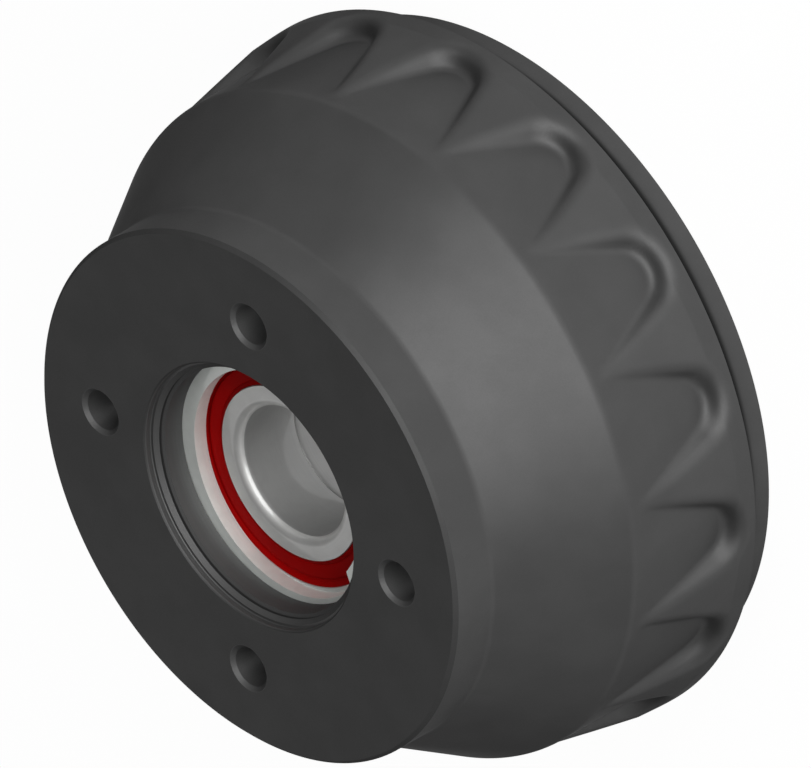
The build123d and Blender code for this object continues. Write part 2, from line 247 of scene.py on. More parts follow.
class Board:
    """A material's node tree with short ways to add and join nodes."""

    def __init__(self, name: str) -> None:
        """Start a material of this name with only a shader and its output."""
        self.material = bpy.data.materials.new(name)
        self.material.use_nodes = True
        self.tree = self.material.node_tree
        self.tree.nodes.clear()
        self.output = self.node("ShaderNodeOutputMaterial")
        self.shader = self.node("ShaderNodeBsdfPrincipled")
        self.join(self.shader.outputs[0], self.output.inputs[0])
        self.place = self.node("ShaderNodeTexCoord").outputs["Object"]

    def node(self, kind: str, **settings: object) -> bpy.types.Node:
        """Add a node and set its properties.

        Args:
            kind: Blender's name of the node type.
            settings: property names and values.

        Returns:
            The node.
        """
        new = self.tree.nodes.new(kind)
        for key, value in settings.items():
            setattr(new, key, value)
        return new

    def join(self, source: Socket, target: Socket) -> None:
        """Link two sockets."""
        self.tree.links.new(source, target)

    def feed(self, socket: Socket, value: object) -> None:
        """Give an input a link to an output socket, or a constant."""
        if isinstance(value, Socket):
            self.join(value, socket)
        else:
            socket.default_value = value

    def wire(self, node: bpy.types.Node, inputs: dict[str, object]) -> Socket:
        """Feed a node's inputs by name.

        Args:
            node: the node.
            inputs: a link or a constant for each input.

        Returns:
            The node's first output.
        """
        for name, value in inputs.items():
            self.feed(node.inputs[name], value)
        return node.outputs[0]

    def maths(self, operation: str, *values: object) -> Socket:
        """One step of arithmetic.

        Args:
            operation: Blender's name of the operation.
            values: sockets or numbers.

        Returns:
            The result's socket.
        """
        step = self.node("ShaderNodeMath", operation=operation)
        for socket, value in zip(step.inputs, values):
            self.feed(socket, value)
        return step.outputs[0]

    def noise(self, place: Socket, scale: float, detail: float, rough: float = 0.55) -> Socket:
        """Noise from 0 to 1.

        Args:
            place: coordinates.
            scale: grains a metre.
            detail: octaves.
            rough: weight of the finer octaves.

        Returns:
            The noise's factor.
        """
        return self.wire(self.node("ShaderNodeTexNoise"), {
            "Vector": place, "Scale": scale, "Detail": detail, "Roughness": rough})

    def spread(self, factor: Socket, low: float, high: float,
               start: float = 0.3, end: float = 0.7) -> Socket:
        """Map a factor to a range.

        Args:
            factor: the input.
            low: result at start.
            high: result at end.
            start: lower end of the factor.
            end: upper end of the factor.

        Returns:
            The mapped socket.
        """
        span = self.node("ShaderNodeMapRange", interpolation_type="SMOOTHSTEP")
        return self.wire(span, {"Value": factor, "From Min": start, "From Max": end,
                                "To Min": low, "To Max": high})

    def blend(self, factor: object, first: object, second: object) -> Socket:
        """Mix two colours.

        Args:
            factor: 0 for the first, 1 for the second.
            first: socket or colour.
            second: socket or colour.

        Returns:
            The mixed colour.
        """
        mix = self.node("ShaderNodeMix", data_type="RGBA")
        self.feed(mix.inputs[0], factor)
        for socket, value in ((mix.inputs[6], first), (mix.inputs[7], second)):
            self.feed(socket, (*value, 1.0) if isinstance(value, tuple) else value)
        return mix.outputs[2]

    def tinted(self, factor: Socket, colour: Colour, swing: float) -> Socket:
        """A colour that varies a little each way.

        Args:
            factor: noise from 0 to 1.
            colour: the middle colour.
            swing: share by which it darkens and lightens.

        Returns:
            The colour's socket.
        """
        dark = tuple(part * (1 - swing) for part in colour)
        light = tuple(min(1.0, part * (1 + swing)) for part in colour)
        return self.blend(self.spread(factor, 0.0, 1.0), dark, light)

    def bump(self, height: Socket, depth_mm: float, strength: float,
             under: Socket | None = None) -> Socket:
        """Surface relief.

        Args:
            height: relief from 0 to 1.
            depth_mm: height of the relief in millimetres.
            strength: how much of it counts.
            under: normal of a coarser relief.

        Returns:
            The normal's socket.
        """
        relief = {"Height": height, "Distance": depth_mm * MM, "Strength": strength}
        if under is not None:
            relief["Normal"] = under
        return self.wire(self.node("ShaderNodeBump"), relief)

    def axes(self) -> tuple[Socket, ...]:
        """The place's x, y and z in metres."""
        parts = self.node("ShaderNodeSeparateXYZ")
        self.join(self.place, parts.inputs[0])
        return tuple(parts.outputs)

    def length(self, x: object, y: object) -> Socket:
        """Length of a flat vector: the root of x x + y y."""
        square = self.maths("ADD", self.maths("MULTIPLY", x, x), self.maths("MULTIPLY", y, y))
        return self.maths("SQRT", square)

    def radius(self) -> Socket:
        """Distance from the spin axis in metres."""
        return self.length(*self.axes()[:2])

    def height(self) -> Socket:
        """Height above the rear rim in metres."""
        return self.axes()[2]

    def between(self, value: Socket, low: float, high: float) -> Socket:
        """Mask of 1 where a length in metres lies between two lengths in millimetres."""
        return self.maths("MULTIPLY", self.maths("GREATER_THAN", value, low * MM),
                          self.maths("LESS_THAN", value, high * MM))

    def lathe_lines(self, per_metre: float) -> Socket:
        """Fine rings round the spin axis, as turning and grinding leave them.

        Noise is read at (radius, height, 0), so it is the same all the way round.
        """
        ring = self.node("ShaderNodeCombineXYZ")
        self.join(self.radius(), ring.inputs[0])
        self.join(self.height(), ring.inputs[1])
        return self.noise(ring.outputs[0], per_metre, 2.0, 0.6)


class Finish:
    """What a surface is made to look like."""

    def paint(self, board: Board) -> None:
        """Join the finish's nodes on a material's board."""
        raise NotImplementedError

    def make(self, name: str) -> bpy.types.Material:
        """Make a material of this name."""
        board = Board(name)
        self.paint(board)
        return board.material


@dataclass(frozen=True)
class DarkIronFinish(Finish):
    """Dark grey coated iron, lighter where it is turned and drilled, bare where shoes run, with
    painted shade in the cove under the skirt's sharp edge and painted light that lifts the shade
    in the hub's mouth.
    """

    colour: Colour = (0.092, 0.092, 0.092)
    turned: Colour = (0.13, 0.13, 0.13)
    bare: Colour = (0.22, 0.215, 0.21)
    metallic: float = 0.8
    bare_metallic: float = 0.85
    edge_tint: float = 0.25
    roughness: float = 0.53
    swept_r: Pair = (79.4, 80.6)
    swept_height: Pair = (-1.0, 43.0)
    swept_gloss: float = 0.25
    # The hub's mouth is lighter partly as turned iron and partly as painted light that lifts the
    # shade inside it.
    mouth_r: Pair = (-1.0, 35.2)
    mouth_height: Pair = (70.0, 100.0)
    hole_circle_r: float = 50.0
    hole_r: Pair = (-1.0, 6.3)
    # The cove zone and the heights over which its painted shade fades towards the rim.
    cove_r: Pair = (85.0, 92.4)
    cove_height: Pair = (-1.0, 10.9)
    cove_light_height: float = 4.6
    cove_dark_height: float = 6.8
    cove_shade: float = 0.35
    cloud_scale: float = 60.0
    grain_scale: float = 2600.0
    line_scale: float = 2400.0
    coat_swing: float = 0.05
    bare_swing: float = 0.12
    turned_swing: float = 0.03
    rough_swing: float = 0.03
    grain_relief: Pair = (0.02, 0.25)
    line_relief: Pair = (0.006, 0.2)

    def zone(self, board: Board, radii: Pair, heights: Pair) -> Socket:
        """Mask of a ring round the spin axis, between two radii and two heights."""
        return board.maths("MULTIPLY", board.between(board.radius(), *radii),
                           board.between(board.height(), *heights))

    def in_holes(self, board: Board) -> Socket:
        """Mask of the four bolt holes.

        The holes lie on the axes, so with x and y folded to their sizes and put in order all
        four fall on one spot, at the bolt circle's radius.
        """
        x, y = (board.maths("ABSOLUTE", axis) for axis in board.axes()[:2])
        along = board.maths("SUBTRACT", board.maths("MAXIMUM", x, y), self.hole_circle_r * MM)
        reach = board.length(along, board.maths("MINIMUM", x, y))
        return board.between(reach, *self.hole_r)

    def cove_painted_shade(self, board: Board) -> Socket:
        """Share of painted shade in the cove: 1 under the skirt's sharp edge, less at the rim."""
        share = board.spread(board.height(), 0.0, 1.0, self.cove_light_height * MM,
                             self.cove_dark_height * MM)
        return board.maths("MULTIPLY", share, self.zone(board, self.cove_r, self.cove_height))

    def paint(self, board: Board) -> None:
        """Join the finish's nodes."""
        cloud = board.noise(board.place, self.cloud_scale, 4.0)
        grain = board.noise(board.place, self.grain_scale, 2.0)
        lines = board.lathe_lines(self.line_scale)
        coat = board.tinted(cloud, self.colour, self.coat_swing)
        iron = board.tinted(lines, self.bare, self.bare_swing)
        swept = self.zone(board, self.swept_r, self.swept_height)
        # Lighter turned and drilled iron; in the hub's mouth this is also painted light that
        # lifts its shade.
        machined_and_painted_light = board.maths("MAXIMUM", self.zone(board, self.mouth_r, self.mouth_height),
                               self.in_holes(board))
        turned = board.tinted(lines, self.turned, self.turned_swing)
        coat = board.blend(machined_and_painted_light, coat, turned)
        # Painted shade: the iron is darkened in the cove under the skirt's sharp edge, where
        # shade falls.
        painted_shade = tuple(part * self.cove_shade for part in self.colour)
        coat = board.blend(self.cove_painted_shade(board), coat, painted_shade)
        gain = board.maths("MULTIPLY", swept, self.bare_metallic - self.metallic)
        rough = board.spread(grain, self.roughness - self.rough_swing,
                             self.roughness + self.rough_swing)
        gloss = board.maths("MULTIPLY", swept, self.swept_gloss)
        coarse = board.bump(grain, *self.grain_relief)
        board.wire(board.shader, {
            "Base Color": board.blend(swept, coat, iron),
            "Metallic": board.maths("ADD", gain, self.metallic),
            "Roughness": board.maths("SUBTRACT", rough, gloss),
            "Specular IOR Level": 0.0,
            "Specular Tint": (*(self.edge_tint,) * 3, 1.0),
            "Normal": board.bump(lines, *self.line_relief, coarse),
        })


@dataclass(frozen=True)
class GroundSteelFinish(Finish):
    """Steel ground round the axis: a satin base under a faint oil skin, with painted shade
    darkening the bore.
    """

    colour: Colour = (0.69, 0.69, 0.68)
    metallic: float = 0.9
    roughness: float = 0.6
    skin: float = 0.3
    skin_ior: float = 2.3
    skin_roughness: float = 0.05
    swing: float = 0.03
    rough_swing: Pair = (0.03, 0.04)
    line_relief: Pair = (0.002, 0.4)
    line_scale: float = 5200.0
    cloud_scale: float = 180.0
    # Painted shade: a darker colour inside the inner ring's bore, where shade falls.
    bore_shade_colour: Colour = (0.4, 0.4, 0.395)
    bore_r: float = 17.2

    def paint(self, board: Board) -> None:
        """Join the finish's nodes."""
        lines = board.lathe_lines(self.line_scale)
        cloud = board.noise(board.place, self.cloud_scale, 3.0)
        # Mask of the painted shade in the bore.
        bore_shade = board.maths("LESS_THAN", board.radius(), self.bore_r * MM)
        board.wire(board.shader, {
            "Base Color": board.blend(bore_shade, board.tinted(cloud, self.colour, self.swing),
                                      board.tinted(cloud, self.bore_shade_colour, self.swing)),
            "Metallic": self.metallic,
            "Roughness": board.spread(lines, self.roughness - self.rough_swing[0],
                                      self.roughness + self.rough_swing[1]),
            "Specular IOR Level": 0.0,
            "Coat Weight": self.skin,
            "Coat IOR": self.skin_ior,
            "Coat Roughness": self.skin_roughness,
            "Normal": board.bump(lines, *self.line_relief),
        })


@dataclass(frozen=True)
class MouldedFinish(Finish):
    """Moulded rubber or plastic with a fine matt skin."""

    colour: Colour
    roughness: float = 0.5
    level: float = 0.5
    grain_mm: float = 0.35
    cloud_scale: float = 90.0
    swing: float = 0.06
    rough_swing: float = 0.05
    grain_relief: Pair = (0.01, 0.3)

    def paint(self, board: Board) -> None:
        """Join the finish's nodes."""
        grain = board.noise(board.place, 1 / (self.grain_mm * MM), 3.0)
        cloud = board.noise(board.place, self.cloud_scale, 3.0)
        board.wire(board.shader, {
            "Base Color": board.tinted(cloud, self.colour, self.swing),
            "Roughness": board.spread(grain, self.roughness - self.rough_swing,
                                      self.roughness + self.rough_swing),
            "Specular IOR Level": self.level,
            "Normal": board.bump(grain, *self.grain_relief),
        })


# The drum


@dataclass
class Pockets:
    """The ribbed skirt: sixteen pockets, each a V closed by an arc, in the drum's side.

    A depth is counted from the flange face, and an angle in degrees from a pocket's middle.
    """

    floor_r: float = 87.6
    skirt_r: float = 92.5
    rib_slope: float = 10.0
    rib_full_depth: float = 73.6
    count: int = 16
    half_angle: float = 25.0
    end_r: float = 6.25
    end_depth: float = 64.74
    foot_r: float = 2.7
    lip_r: float = 4.3
    wall: float = 62.0
    flank_share: float = 0.97
    mean_lift: float = 0.4
    columns: int = 32
    marks: tuple[float, ...] = (0.0, 0.25, 0.8125, 1.0)
    least_floor: float = 1.2
    floor_margin: float = 1.8
    least_wall: float = 1.2
    least_rib: float = 0.5
    gather: Pair = (45.0, 49.0)
    scatter: Pair = (68.0, 77.0)

    def rise(self, depth: Array) -> Array:
        """Height of the ribs above the pocket floors, none below zero.

        The ribs' tops are a cone of the rib slope, up to the plain skirt.
        """
        back = np.maximum(self.rib_full_depth - depth, 0.0)
        top = self.skirt_r - back * tan(radians(self.rib_slope))
        return np.maximum(top - self.floor_r, 0.0)

    def wall_angle(self, rise: Array) -> Array:
        """Steepness of the pocket wall in radians, less where the wall is low."""
        turn = np.arccos(np.clip(1 - self.flank_share * rise / (self.foot_r + self.lip_r), -1, 1))
        return np.minimum(turn, radians(self.wall))

    def wall_width(self, rise: Array) -> Array:
        """Width over which the wall climbs: foot arc, flank and lip arc, seen from outside."""
        turn = self.wall_angle(rise)
        both = self.foot_r + self.lip_r
        flank = rise - both * (1 - np.cos(turn))
        return both * np.sin(turn) + flank / np.maximum(np.tan(turn), TINY)

    def outside(self, depth: Array, across: Array) -> Array:
        """Distance outside the pocket's foot line, a V whose narrow end is closed by an arc.

        Beside the V it is the distance to its side, and past the end the distance to the arc.

        Args:
            depth: depths.
            across: distances along the drum's girth from the pocket's middle.

        Returns:
            Distances, negative inside.
        """
        half = radians(self.half_angle)
        along = depth - self.end_depth
        side = across * np.cos(half) + along * np.sin(half) - self.end_r
        end = np.hypot(along, across) - self.end_r
        return np.where(along * np.cos(half) > across * np.sin(half), end, side)

    def radius(self, depth: Array, angle: Array) -> Array:
        """Radius of the skirt.

        Above the floor the wall follows a foot arc, a straight flank and a lip arc that ends
        level with the rib.
        """
        rise = self.rise(depth)
        across = np.radians(np.abs(angle)) * (self.floor_r + self.mean_lift)
        out = np.maximum(self.outside(depth, across), 0)
        turn = self.wall_angle(rise)
        foot_width = self.foot_r * np.sin(turn)
        foot_rise = self.foot_r * (1 - np.cos(turn))
        width = self.wall_width(rise)
        lip_width = self.lip_r * np.sin(turn)
        foot = self.foot_r - np.sqrt(self.foot_r ** 2 - np.minimum(out, foot_width) ** 2)
        flank = foot_rise + (out - foot_width) * np.tan(turn)
        left = np.clip(width - out, 0, lip_width)
        lip = rise - self.lip_r + np.sqrt(self.lip_r ** 2 - left ** 2)
        climb = np.where(out < foot_width, foot, np.where(out < width - lip_width, flank, lip))
        return self.floor_r + np.clip(climb, 0, rise)

    def column_angles(self, depth: Array) -> Array:
        """Angles of the grid's columns over half a pocket, gathered on the wall.

        A quarter of the columns cross the floor, over half cross the wall and the rest the
        rib. The even spacing returns at both ends of the pocket.

        Args:
            depth: depths of the rows.

        Returns:
            Angles [rows, columns / 2 + 1].
        """
        half_pocket = 180 / self.count
        half = radians(self.half_angle)
        steps = self.columns // 2
        along = depth - self.end_depth

        def line(out: Array) -> Array:
            side = (out - along * np.sin(half)) / np.cos(half)
            end = np.sqrt(np.maximum(out ** 2 - along ** 2, 0))
            across = np.where(along * np.cos(half) > side * np.sin(half), end, side)
            return np.degrees(across / (self.floor_r + self.mean_lift))

        foot = np.clip(line(np.full_like(depth, self.end_r)), self.least_floor,
                       half_pocket - self.floor_margin)
        lip = line(self.end_r + self.wall_width(self.rise(depth)))
        lip = np.clip(lip, foot + self.least_wall, half_pocket - self.least_rib)
        share = np.linspace(0, 1, steps + 1)
        marks = np.stack([np.zeros_like(foot), foot, lip, np.full_like(foot, half_pocket)])
        at = np.array(self.marks)
        piece = np.clip(np.searchsorted(at, share, side="right") - 1, 0, 2)
        part = (share - at[piece]) / (at[piece + 1] - at[piece])
        gathered = marks[piece].T * (1 - part) + marks[piece + 1].T * part
        fade_in = np.clip((depth - self.gather[0]) / (self.gather[1] - self.gather[0]), 0, 1)
        fade_out = np.clip((self.scatter[1] - depth) / (self.scatter[1] - self.scatter[0]), 0, 1)
        weight = (fade_in * fade_out)[:, None]
        weight = weight * weight * (3 - 2 * weight)
        return gathered * weight + half_pocket * share[None, :] * (1 - weight)

    def grid(self, depth: Array) -> tuple[Array, Array]:
        """Angles and radii of the whole skirt.

        Args:
            depth: depths of the rows.

        Returns:
            Two arrays [rows, columns round the drum]: angles in degrees, radii.
        """
        right = self.column_angles(depth)
        left = -right[:, :0:-1]
        pocket = np.concatenate([left, right[:, :-1]], axis=1)
        radii = self.radius(depth[:, None], pocket)
        turn = np.arange(self.count) * 360 / self.count
        angles = (pocket[:, None, :] + turn[None, :, None]).reshape(len(depth), -1)
        return angles, np.tile(radii, (1, self.count))


@dataclass
class DrumCasting:
    """The casting: flange, cone, ribbed skirt, cove, rim, friction surface and hub.

    The mouth's corners are (radius beyond the cap seat, depth, rounding).
    """

    length: float
    pockets: Pockets = field(default_factory=Pockets)
    flange_r: float = 70.0
    flange_chamfer: float = 1.0
    plate: float = 13.0
    cone_angle: float = 30.0
    cone_round: float = 4.0
    shoulder_depth: float = 43.0
    shoulder_round: float = 4.6
    cove_r: float = 7.4
    cove_depth: float = 86.0
    cove_steps: int = 10
    rim_r: float = 86.5
    rim_edge: float = 0.4
    friction_r: float = 80.0
    lead_in: float = 1.5
    cast_wall: float = 7.0
    inner_round: float = 4.0
    boss_r: float = 38.5
    boss_round: float = 5.0
    boss_draft: float = 0.7
    boss_end: float = 54.95
    lip_r: float = 28.5
    lip_chamfer: float = 0.8
    seat_r: float = 32.0
    seat_end: float = 50.95
    clip_groove_r: float = 33.5
    clip_groove_front: float = 9.95
    clip_groove_back: float = 14.1
    cap_seat_r: float = 32.35
    mouth: tuple[Corner, ...] = (
        (0.0, 4.16, 0), (0.71, 3.7, 0), (1.95, 3.7, 0), (1.95, 3.05, 0), (0.85, 3.05, 0),
        (1.9, 1.98, 0), (2.7, 1.98, 0.35), (2.7, 0.45, 0), (3.15, 0.0, 0))
    bolt_circle_r: float = 50.0
    bolt_count: int = 4
    bolt_r: float = 5.25
    bolt_chamfer_r: float = 6.2
    ray_points: int = 16
    hole_rows: int = 8
    skirt_middle: float = 68.0
    skirt_end: float = 77.6
    skirt_rows: int = 25

    def columns(self) -> int:
        """Number of points round the drum."""
        return self.pockets.count * self.pockets.columns

    def angles(self) -> Array:
        """Even angles of the columns in degrees, the same ones as the skirt's."""
        half = self.pockets.columns // 2
        steps = np.arange(self.columns()) - half
        return steps * 360 / self.columns()

    def place(self, radius: Array, angle: Array, depth: Array) -> Array:
        """Points from radius, angle in degrees and depth."""
        return spun(radius, angle, self.length - depth)

    def turned_rows(self, line: Array) -> Array:
        """Grid of a section line carried round the spin axis.

        Args:
            line: array [n, 2] of (radius, depth).

        Returns:
            Points [n, columns, 3].
        """
        return self.place(line[:, :1], self.angles()[None, :], line[:, 1:])

    def cone(self) -> Pair:
        """Radius that the cone gains with depth, and the depth at which it starts."""
        slope = tan(radians(self.cone_angle))
        return slope, self.shoulder_depth - (self.pockets.floor_r - self.flange_r) / slope

    def plate_outer_r(self) -> float:
        """Radius at which the inside cone would meet the flange plate."""
        slope, start = self.cone()
        wall = self.cast_wall / np.cos(radians(self.cone_angle))
        return self.flange_r + (self.plate - start) * slope - wall

    def outside_line(self) -> Array:
        """Section from the flange face's outer edge to the end of the shoulder's rounding."""
        start = self.cone()[1]
        return rounded([
            (self.flange_r - self.flange_chamfer, 0, 0),
            (self.flange_r, self.flange_chamfer, 0),
            (self.flange_r, start, self.cone_round),
            (self.pockets.floor_r, self.shoulder_depth, self.shoulder_round),
            (self.pockets.floor_r, self.shoulder_depth + self.shoulder_round, 0),
        ], closed=False, step=5.0)[:-1]

    def skirt_depths(self) -> Array:
        """Depths of the skirt's rows, closer together where the pockets end."""
        front = self.outside_line()[-1, 1]
        return np.concatenate([
            np.linspace(front, self.skirt_middle, self.skirt_rows + 1)[1:],
            np.linspace(self.skirt_middle, self.skirt_end, self.skirt_rows)[1:],
        ])

    def rear_line(self) -> Array:
        """Section from the skirt's sharp edge round the rim to the flange plate inside."""
        drop = self.pockets.skirt_r - self.rim_r
        turn = np.degrees(np.arccos((self.cove_r - drop) / self.cove_r))
        centre = (self.rim_r + self.cove_r, self.cove_depth)
        cove = arc(centre, self.cove_r, 180 + turn, 180, self.cove_steps)
        outer_r = self.plate_outer_r()
        inner_end = self.plate + (self.friction_r - outer_r) / tan(radians(self.cone_angle))
        inside = rounded([
            (self.rim_r, self.length - self.rim_edge, 0),
            (self.rim_r - self.rim_edge, self.length, 0),
            (self.friction_r + self.lead_in, self.length, 0),
            (self.friction_r, self.length - self.lead_in, 0),
            (self.friction_r, inner_end, self.inner_round),
            (outer_r, self.plate, self.inner_round),
            (self.boss_r, self.plate, 0),
        ], closed=False, step=7.5)[:-1]
        return np.concatenate([cove, inside])

    def hub_line(self) -> Array:
        """Section from the flange plate inside, over the hub boss, to the flange face."""
        seat = self.cap_seat_r
        return rounded([
            (self.plate_outer_r(), self.plate, 0),
            (self.boss_r, self.plate, self.boss_round),
            (self.boss_r - self.boss_draft, self.boss_end - 1, 0),
            (self.boss_r - self.boss_draft - 1, self.boss_end, 0),
            (self.lip_r + self.lip_chamfer, self.boss_end, 0),
            (self.lip_r, self.boss_end - self.lip_chamfer, 0),
            (self.lip_r, self.seat_end, 0),
            (self.seat_r, self.seat_end, 0),
            (self.seat_r, self.clip_groove_back, 0),
            (self.clip_groove_r, self.clip_groove_back, 0),
            (self.clip_groove_r, self.clip_groove_front, 0),
            (seat, self.clip_groove_front, 0),
            *((seat + beyond, depth, rounding) for beyond, depth, rounding in self.mouth),
        ], closed=False, step=10.0)[1:]

    def bolt_turns(self) -> list[Array]:
        """Matrices that turn rows of points from the first bolt hole to each of them."""
        spins = np.radians(360 / self.bolt_count * np.arange(self.bolt_count))
        return [np.array([[np.cos(a), np.sin(a), 0], [-np.sin(a), np.cos(a), 0], [0, 0, 1]])
                for a in spins]

    def add_plate(self, skin: Skin, inner: float, outer: float, depth: float) -> None:
        """Flat ring round the four bolt holes.

        Each hole has a quarter of the ring. The quarter's edge runs along the outer arc, in
        along a ray, back along the inner arc and out again, and a fan joins it to the hole.

        Args:
            skin: mesh to add to.
            inner: inner radius.
            outer: outer radius.
            depth: depth of the face.
        """
        quarter = self.columns() // self.bolt_count
        a = (np.arange(quarter + 1) - quarter // 2) * 360 / self.columns()
        rays = np.linspace(0, 1, self.ray_points + 1)
        radius = np.concatenate([
            np.full(quarter, outer),
            outer + (inner - outer) * rays[:-1],
            np.full(quarter, inner),
            inner + (outer - inner) * rays[:-1],
        ])
        angle = np.concatenate([
            a[:-1], np.full(self.ray_points, a[-1]), a[:0:-1], np.full(self.ray_points, a[0]),
        ])
        edge = self.place(radius, angle, np.full_like(radius, depth))
        few = len(edge) // 4
        spots = edge[::4, :2] - np.array([self.bolt_circle_r, 0.0])
        turn = np.degrees(np.unwrap(np.arctan2(spots[:, 1], spots[:, 0])))
        even = turn[0] + np.sign(turn[-1] - turn[0]) * 360 * np.arange(few) / few
        ring_r = self.bolt_chamfer_r
        hole = self.place(np.full(few, ring_r), (turn + even) / 2, np.full(few, depth))
        hole[:, 0] += self.bolt_circle_r
        for turn in self.bolt_turns():
            skin.add_fan_strip(edge @ turn, hole @ turn)

    def hole_angles(self, inner: float, outer: float) -> Array:
        """Angles of a hole's points as the plate of these radii leaves them."""
        skin = Skin()
        self.add_plate(skin, inner, outer, 0.0)
        ring = skin.points[1][:, :2] - np.array([self.bolt_circle_r, 0.0])
        return np.degrees(np.unwrap(np.arctan2(ring[:, 1], ring[:, 0])))

    def add_holes(self, skin: Skin, front: Array, rear: Array) -> None:
        """Walls of the bolt holes, from chamfer to chamfer.

        The angles turn evenly from those of the front face to those of the rear face.

        Args:
            skin: mesh to add to.
            front: angles of the points at the front face.
            rear: angles of the points at the rear face.
        """
        flare = self.bolt_chamfer_r - self.bolt_r
        walls = np.linspace(flare, self.plate - flare, self.hole_rows)
        rows = np.concatenate([[0.0], walls, [self.plate]])
        radii = np.full(len(rows), self.bolt_r)
        radii[0] = radii[-1] = self.bolt_chamfer_r
        share = (rows / self.plate)[:, None]
        angle = front[None, :] * (1 - share) + rear[None, :] * share
        wall = self.place(radii[:, None], angle, rows[:, None])
        wall[..., 0] += self.bolt_circle_r
        for turn in self.bolt_turns():
            skin.add_ring_grid(wall @ turn)

    def build(self) -> Piece:
        """Build the casting as one closed mesh."""
        skin = Skin()
        outside = self.outside_line()
        depths = self.skirt_depths()
        angles, radii = self.pockets.grid(depths)
        skirt = self.place(radii, angles, depths[:, None])
        rear = self.rear_line()
        rows = [self.turned_rows(outside), skirt, self.turned_rows(rear)]
        skin.add_ring_grid(np.concatenate(rows))
        hub = self.hub_line()
        skin.add_ring_grid(self.turned_rows(hub))
        front_rings = (hub[-1, 0], outside[0, 0])
        rear_rings = (hub[0, 0], rear[-1, 0])
        self.add_plate(skin, *front_rings, 0.0)
        self.add_plate(skin, *rear_rings, self.plate)
        self.add_holes(skin, self.hole_angles(*front_rings), self.hole_angles(*rear_rings))
        return skin.build("drum_casting_skin")


# The bearing


